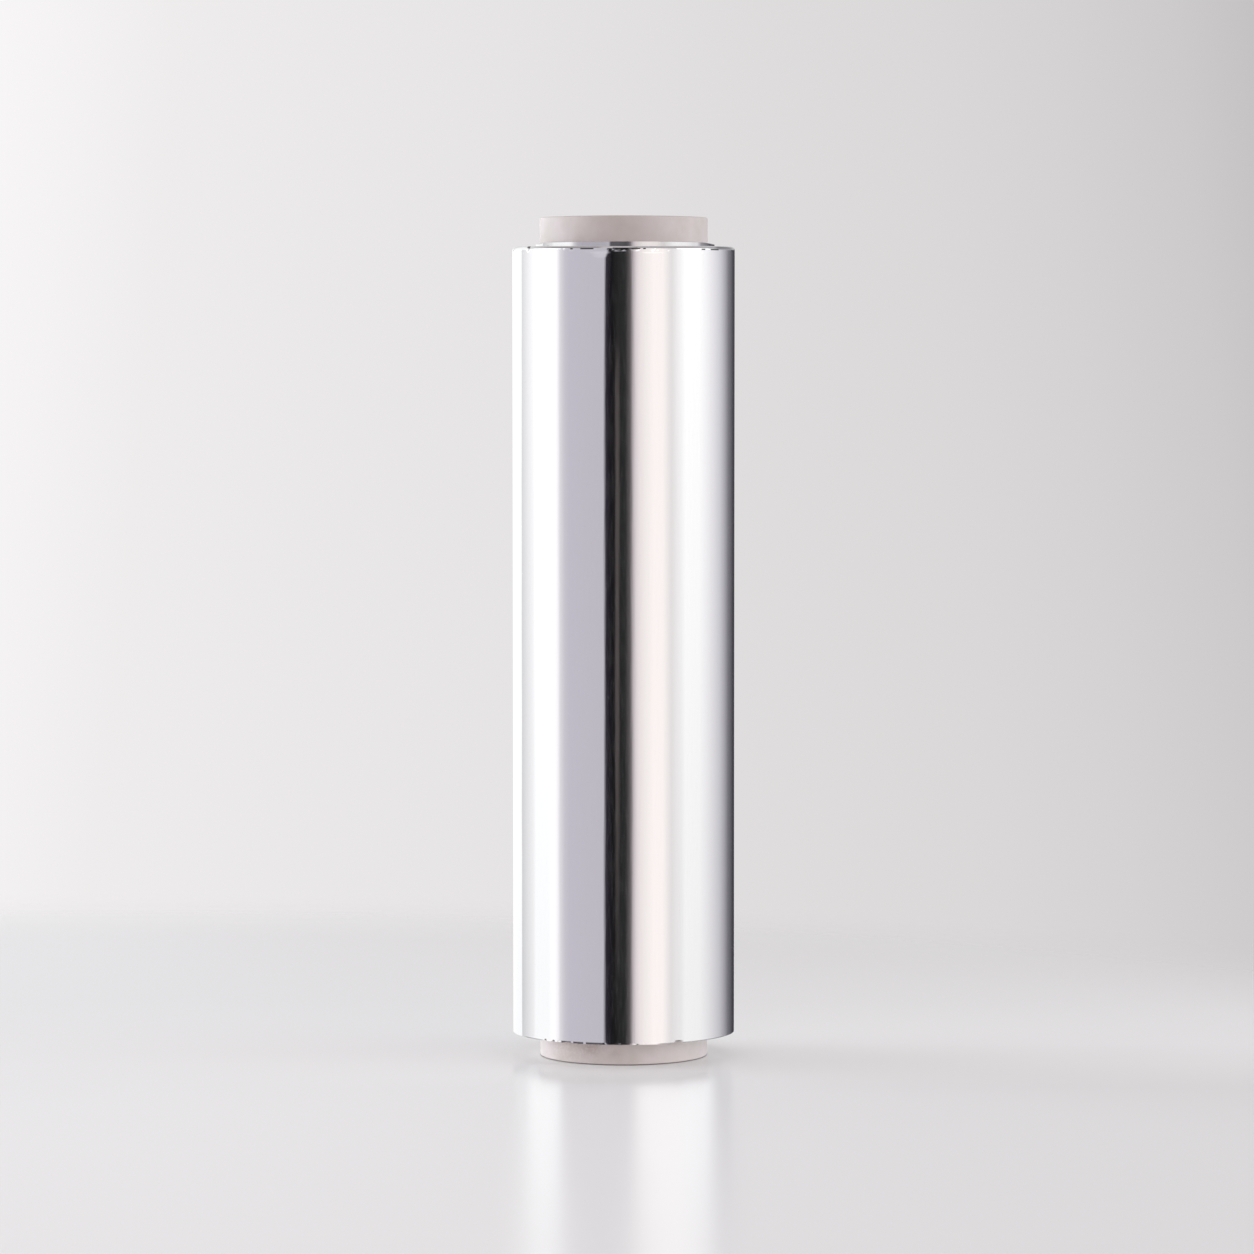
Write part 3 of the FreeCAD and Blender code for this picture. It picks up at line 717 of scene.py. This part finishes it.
reliefHeight = addNode(tree, "ShaderNodeMath",
                       {0: turnLines.outputs["Fac"], 1: foilFinish["turnLineDepth"], 2: streakHeight},
                       operation="MULTIPLY_ADD")
relief = addNode(tree, "ShaderNodeBump", {"Strength": 1.0, "Distance": 0.001, "Height": reliefHeight})
metalShare = addNode(tree, "ShaderNodeMapRange",
                     {0: streakNoises[1].outputs["Fac"], 1: foilFinish["hazeFrom"][0],
                      2: foilFinish["hazeFrom"][1], 3: 1.0, 4: 1 - foilFinish["haze"]})
towardsFront = addNode(tree, "ShaderNodeMath", {0: spot.outputs["Y"], 1: -1.0}, operation="MULTIPLY")
around = addNode(tree, "ShaderNodeMath", {0: spot.outputs["X"], 1: towardsFront}, operation="ARCTAN2")
place = addNode(tree, "ShaderNodeMapRange", {0: around, 1: -math.pi, 2: math.pi})
# the painted shade lies on the steep parts only, never on the flat of an end face
facing = addNode(tree, "ShaderNodeSeparateXYZ",
                 {0: addNode(tree, "ShaderNodeTexCoord").outputs["Normal"]})
levelness = addNode(tree, "ShaderNodeMath", {0: facing.outputs["Z"]}, operation="ABSOLUTE")
steep = addNode(tree, "ShaderNodeMapRange",
                {0: levelness, 1: foilFinish["shadeSteep"][0], 2: foilFinish["shadeSteep"][1],
                 3: 1.0, 4: 0.0})
foilColourAndShade = linearColour(foilFinish["colour"])
for shadeHeight, halfThick, shade, soft, stretches in foilPaintedShade.values():
    dashes = addNode(tree, "ShaderNodeValToRGB", {0: place})
    dashes.color_ramp.interpolation = "LINEAR" if soft else "CONSTANT"
    stopElements = dashes.color_ramp.elements
    stopElements.remove(stopElements[1])
    for start, end in stretches:
        if soft:
            stopElements.new((start - soft + 180) / 360).color = (0, 0, 0, 1)
        stopElements.new((start + 180) / 360).color = (1, 1, 1, 1)
        if soft:
            stopElements.new((end + 180) / 360).color = (1, 1, 1, 1)
        stopElements.new((end + soft + 180) / 360).color = (0, 0, 0, 1)
    upFromLine = addNode(tree, "ShaderNodeMath",
                         {0: spot.outputs["Z"], 1: shadeHeight}, operation="SUBTRACT")
    offLine = addNode(tree, "ShaderNodeMath", {0: upFromLine}, operation="ABSOLUTE")
    onLine = addNode(tree, "ShaderNodeMapRange",
                     {0: offLine, 1: halfThick * foilFinish["shadeFade"][0],
                      2: halfThick * foilFinish["shadeFade"][1], 3: shade, 4: 0.0})
    onDash = addNode(tree, "ShaderNodeMath", {0: dashes, 1: onLine}, operation="MULTIPLY")
    shadeShare = addNode(tree, "ShaderNodeMath", {0: onDash, 1: steep}, operation="MULTIPLY")
    # painted shade: each line darkens the foil's colour over its stretches
    foilColourAndShade = addNode(tree, "ShaderNodeMix",
                         {"Factor": shadeShare, 6: foilColourAndShade, 7: linearColour(foilFinish["paintedShade"])},
                         data_type="RGBA").outputs[2]
foilShade = addNode(tree, "ShaderNodeBsdfPrincipled",
                    {"Base Color": foilColourAndShade, "Metallic": metalShare,
                     "Roughness": foilFinish["roughness"], "Normal": relief})
addNode(tree, "ShaderNodeOutputMaterial", {0: foilShade})

windingMesh = bpy.data.meshes.new("foilWinding")
winding = bpy.data.objects.new("foilWinding", windingMesh)
scene.collection.objects.link(winding)
windingTree = buildWindingTree()
modifier = winding.modifiers.new("woundFoil", "NODES")
modifier.node_group = windingTree
for item in windingTree.interface.items_tree:
    if item.item_type == "SOCKET" and item.in_out == "INPUT":
        if item.name in foil:
            modifier[item.identifier] = foil[item.name]
        elif item.name == "material":
            modifier[item.identifier] = brightFoil
evaluated = winding.evaluated_get(bpy.context.evaluated_depsgraph_get())
woundMesh = bpy.data.meshes.new_from_object(evaluated)
winding.modifiers.clear()
winding.data = woundMesh
woundMesh.name = "foilWinding"
woundMesh.shade_smooth()
woundMesh.set_sharp_from_angle(angle=math.radians(30))
print("foil winding:", len(woundMesh.vertices), "points,", len(woundMesh.polygons), "faces")
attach(winding, "root")
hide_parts("foil_winding")

core = {
    "outerRadius": coreHigh.x,   # millimetres, as all lengths here
    "length": coreHigh.z,
    "wall": 3.1,
    "edgeRound": 0.45,
    "edgeSteps": 5,
    "mouthBevel": 0.5,
    "outsideRings": (14, 4, 1.5),    # extra rings of points, this far from a cut end
    "boreRings": (3, 20),
    "plies": 6,                  # layers of board that show on a cut end
    "glueLine": 0.07,            # depth of the seam between two layers
    "glueHalfWidth": 0.10,
    "cutRagged": 0.05,           # how uneven the blade left the top end
    "raggedScale": 1.1,
    "raggedPlace": 7.3,          # where in the noise the cut is taken
    "outOfRound": 0.05,
    "widestAt": -20,             # degrees from the front
}
coreColumns = 240
print("stage: core")


def coreProfile():
    # half section from the middle of the outside, over the top cut end, to the middle of the bore
    radius, top = core["outerRadius"], core["length"]
    edge, bevel = core["edgeRound"], core["mouthBevel"]
    bore = radius - core["wall"]
    points = [(radius, top / 2)] + [(radius, top - down) for down in core["outsideRings"]]
    for i in range(core["edgeSteps"] + 1):
        angle = math.radians(90 * i / core["edgeSteps"])
        points.append((radius - edge + edge * math.cos(angle), top - edge + edge * math.sin(angle)))
    layer = (core["wall"] - edge - bevel) / core["plies"]
    for i in range(1, core["plies"]):
        seam = radius - edge - i * layer
        points += [(seam + core["glueHalfWidth"], top), (seam, top - core["glueLine"]),
                   (seam - core["glueHalfWidth"], top)]
    points += [(bore + bevel, top), (bore, top - bevel)]
    points += [(bore, top - down) for down in core["boreRings"]] + [(bore, top / 2)]
    return points


# the same half section, turned over, makes the foot end
half = coreProfile()
section = half + [(r, core["length"] - z) for r, z in half[-2:0:-1]]
coreMesh = bpy.data.meshes.new("paperCore")
shell = bmesh.new()
loops = []
for i in range(coreColumns):
    angle = 360 * i / coreColumns
    outward = towards(angle)
    narrow = core["outOfRound"] * (0.5 - 0.5 * math.cos(math.radians(2 * (angle - core["widestAt"]))))
    loop = []
    for r, z in section:
        drop = 0.0
        if core["length"] - z < core["edgeRound"] / 2:
            inNoise = Vector((outward.x * r, outward.y * r, core["raggedPlace"])) * core["raggedScale"]
            drop = core["cutRagged"] * (0.5 + 0.5 * noise.noise(inNoise))
        loop.append(shell.verts.new(outward * ((r - narrow) * 0.001) + Vector((0, 0, (z - drop) * 0.001))))
    loops.append(loop)
for i, loop in enumerate(loops):
    following = loops[(i + 1) % coreColumns]
    for j in range(len(section)):
        k = (j + 1) % len(section)
        shell.faces.new((loop[j], loop[k], following[k], following[j]))
bmesh.ops.recalc_face_normals(shell, faces=shell.faces)
shell.to_mesh(coreMesh)
shell.free()
coreMesh.shade_smooth()
coreMesh.set_sharp_from_angle(angle=math.radians(40))
paperCore = bpy.data.objects.new("paperCore", coreMesh)
scene.collection.objects.link(paperCore)

# Spiral-wound grey board, cut with a blade: dull and soft, with a faint mottle of fibres, darker glue
# lines between the layers of the cut ends, and the fine butt seam of the outer layer, which comes out
# at the back.
boardFinish = {
    "colour": "d2c6c4",
    "darkFibre": "c7bdb6",
    "upperPaintedShade": 0.91,       # painted shade: the upper end is darkened a little
    "upperFrom": (60.0, 260.0),
    # colour of the handling marks and of the painted shade under the foil's overhang
    "smudgeAndShade": "a08d88",
    "glue": "9c8e86",
    "glueHalfWidth": (0.10, 0.16),
    "glueStrength": 0.6,
    "footContactShade": "6a615f",    # painted contact shadow along the foot's cut edge
    "footContactSpan": (0.2, 0.5),
    "mottle": 9.0,           # millimetres across a soft blotch
    "mottleFrom": (0.35, 0.70),
    "fibre": 0.9,
    "fibreBreak": (0.3, 0.6, 0.4),   # noise from and to, and the least that is left of a mark
    "fibreDepth": 0.012,
    "seamPitch": 155.3,      # millimetres along the core for one turn of the outer layer
    "seamStart": 4.6,        # height of the seam straight behind the roll
    "seamWidth": 0.5,
    "seamStrength": 0.35,
    "seamDepth": 0.06,
    "roughness": 0.78,
}
# faint marks from handling, and painted shade under the foil's overhang on the left (the two wide ones at
# -45 and -40): bearing in degrees, height, half width and half height, strength
boardSmudgesAndShade = [
    (-23, 6.0, 6.5, 4.2, 0.58),
    (-5, 4.5, 4.2, 2.8, 0.25),
    # painted shade under the foil's overhang on the left, here and in the next row
    (-45, 8.5, 28.0, 5.0, 0.55),
    (-40, 4.0, 26.0, 8.0, 0.35),
    (-31, 312.5, 5.0, 3.0, 0.22),
    (151, 314.0, 5.0, 2.0, 0.35),
    (108, 4.0, 4.0, 2.0, 0.40),
]
greyBoard, tree = newMaterial("spiralWoundGreyBoard")
inMillimetres, spot, fromAxis = placeOnRoll(tree)
blotches = addNode(tree, "ShaderNodeTexNoise",
                   {"Vector": inMillimetres, "Scale": 1 / boardFinish["mottle"], "Detail": 4.0,
                    "Roughness": 0.6})
fibres = addNode(tree, "ShaderNodeTexNoise",
                 {"Vector": inMillimetres, "Scale": 1 / boardFinish["fibre"], "Detail": 3.0,
                  "Roughness": 0.6})
mottle = addNode(tree, "ShaderNodeMapRange",
                 {0: blotches.outputs["Fac"], 1: boardFinish["mottleFrom"][0],
                  2: boardFinish["mottleFrom"][1]})
breakFrom, breakTo, breakLeast = boardFinish["fibreBreak"]
lineNoise = addNode(tree, "ShaderNodeMapRange",
                    {0: fibres.outputs["Fac"], 1: breakFrom, 2: breakTo, 3: breakLeast, 4: 1.0})
boardMottled = addNode(tree, "ShaderNodeMix",
                       {"Factor": mottle, 6: linearColour(boardFinish["colour"]),
                        7: linearColour(boardFinish["darkFibre"])}, data_type="RGBA")
# painted shade: the board darkens towards its upper end
upperShade = addNode(tree, "ShaderNodeMapRange",
                {0: spot.outputs["Z"], 1: boardFinish["upperFrom"][0], 2: boardFinish["upperFrom"][1],
                 3: 1.0, 4: boardFinish["upperPaintedShade"]})
boardPlain = addNode(tree, "ShaderNodeVectorMath",
                     {0: boardMottled.outputs[2], "Scale": upperShade}, operation="SCALE")
boardTone = boardPlain.outputs[0]
# mixes in the handling marks and the painted shade
for markBearing, markHeight, halfWidth, halfHeight, strength in boardSmudgesAndShade:
    middle = towards(markBearing) * core["outerRadius"] + Vector((0, 0, markHeight))
    fromMiddle = addNode(tree, "ShaderNodeVectorMath", {0: inMillimetres, 1: middle}, operation="SUBTRACT")
    inOval = addNode(tree, "ShaderNodeVectorMath",
                     {0: fromMiddle, 1: (1 / halfWidth, 1 / halfWidth, 1 / halfHeight)},
                     operation="MULTIPLY")
    fromMark = addNode(tree, "ShaderNodeVectorMath", {0: inOval}, operation="LENGTH")
    smudgeAndShadeShare = addNode(tree, "ShaderNodeMapRange",
                      {0: fromMark.outputs["Value"], 3: strength, 4: 0.0},
                      interpolation_type="SMOOTHSTEP")
    smudgeAndShadeShare = addNode(tree, "ShaderNodeMath", {0: smudgeAndShadeShare, 1: lineNoise}, operation="MULTIPLY")
    boardTone = addNode(tree, "ShaderNodeMix",
                        {"Factor": smudgeAndShadeShare, 6: boardTone, 7: linearColour(boardFinish["smudgeAndShade"])},
                        data_type="RGBA").outputs[2]

# glue lines on the cut ends, one at each layer
layer = (core["wall"] - core["edgeRound"] - core["mouthBevel"]) / core["plies"]
depthIn = addNode(tree, "ShaderNodeMath", {0: core["outerRadius"] - core["edgeRound"], 1: fromAxis},
                  operation="SUBTRACT")
toLine = addNode(tree, "ShaderNodeMath", {0: depthIn, 1: layer}, operation="PINGPONG")
onGlue = addNode(tree, "ShaderNodeMapRange",
                 {0: toLine, 1: boardFinish["glueHalfWidth"][0], 2: boardFinish["glueHalfWidth"][1],
                  3: boardFinish["glueStrength"], 4: 0.0})
inBoard = addNode(tree, "ShaderNodeMapRange", {0: depthIn, 2: 0.25})     # none in the worn outer edge
inBore = addNode(tree, "ShaderNodeMapRange",
                 {0: depthIn, 1: core["wall"] - core["edgeRound"] - core["mouthBevel"],
                  2: core["wall"] - core["edgeRound"] - 0.1, 3: 1.0, 4: 0.0})
glueBroken = addNode(tree, "ShaderNodeMath", {0: onGlue, 1: lineNoise}, operation="MULTIPLY")
onCutEnd = addNode(tree, "ShaderNodeMath", {0: inBoard, 1: inBore}, operation="MULTIPLY")
lineShare = addNode(tree, "ShaderNodeMath", {0: glueBroken, 1: onCutEnd}, operation="MULTIPLY")

# the seam climbs round the tube
roundTube = addNode(tree, "ShaderNodeMath",
                    {0: spot.outputs["X"], 1: spot.outputs["Y"]}, operation="ARCTAN2")
climb = addNode(tree, "ShaderNodeMath",
                {0: roundTube, 1: boardFinish["seamPitch"] / (2 * math.pi), 2: spot.outputs["Z"]},
                operation="MULTIPLY_ADD")
overStart = addNode(tree, "ShaderNodeMath", {0: climb, 1: boardFinish["seamStart"]}, operation="SUBTRACT")
fromSeam = addNode(tree, "ShaderNodeMath",
                   {0: overStart, 1: boardFinish["seamPitch"] / 2}, operation="PINGPONG")
seam = addNode(tree, "ShaderNodeMapRange",
               {0: fromSeam, 1: boardFinish["seamWidth"] * 0.3, 2: boardFinish["seamWidth"],
                3: 1.0, 4: 0.0})
seamShade = addNode(tree, "ShaderNodeMath",
                    {0: seam, 1: boardFinish["seamStrength"]}, operation="MULTIPLY")
darkShare = addNode(tree, "ShaderNodeMath", {0: lineShare, 1: seamShade}, operation="MAXIMUM")
boardLined = addNode(tree, "ShaderNodeMix",
                     {"Factor": darkShare, 6: boardTone, 7: linearColour(boardFinish["glue"])},
                     data_type="RGBA")
# painted contact shadow: the board darkens over the lowest half millimetre of the foot
footContactShare = addNode(tree, "ShaderNodeMapRange",
                    {0: spot.outputs["Z"], 1: boardFinish["footContactSpan"][0],
                     2: boardFinish["footContactSpan"][1], 3: 1.0, 4: 0.0})
boardShown = addNode(tree, "ShaderNodeMix",
                     {"Factor": footContactShare, 6: boardLined.outputs[2],
                      7: linearColour(boardFinish["footContactShade"])}, data_type="RGBA")
seamHeight = addNode(tree, "ShaderNodeMath",
                     {0: seam, 1: -boardFinish["seamDepth"]}, operation="MULTIPLY")
napHeight = addNode(tree, "ShaderNodeMath",
                    {0: fibres.outputs["Fac"], 1: boardFinish["fibreDepth"], 2: seamHeight},
                    operation="MULTIPLY_ADD")
nap = addNode(tree, "ShaderNodeBump", {"Strength": 1.0, "Distance": 0.001, "Height": napHeight})
boardShade = addNode(tree, "ShaderNodeBsdfPrincipled",
                     {"Base Color": boardShown.outputs[2], "Roughness": boardFinish["roughness"],
                      "Normal": nap})
addNode(tree, "ShaderNodeOutputMaterial", {0: boardShade})
coreMesh.materials.append(greyBoard)
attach(paperCore, "root")
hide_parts("core_tube")
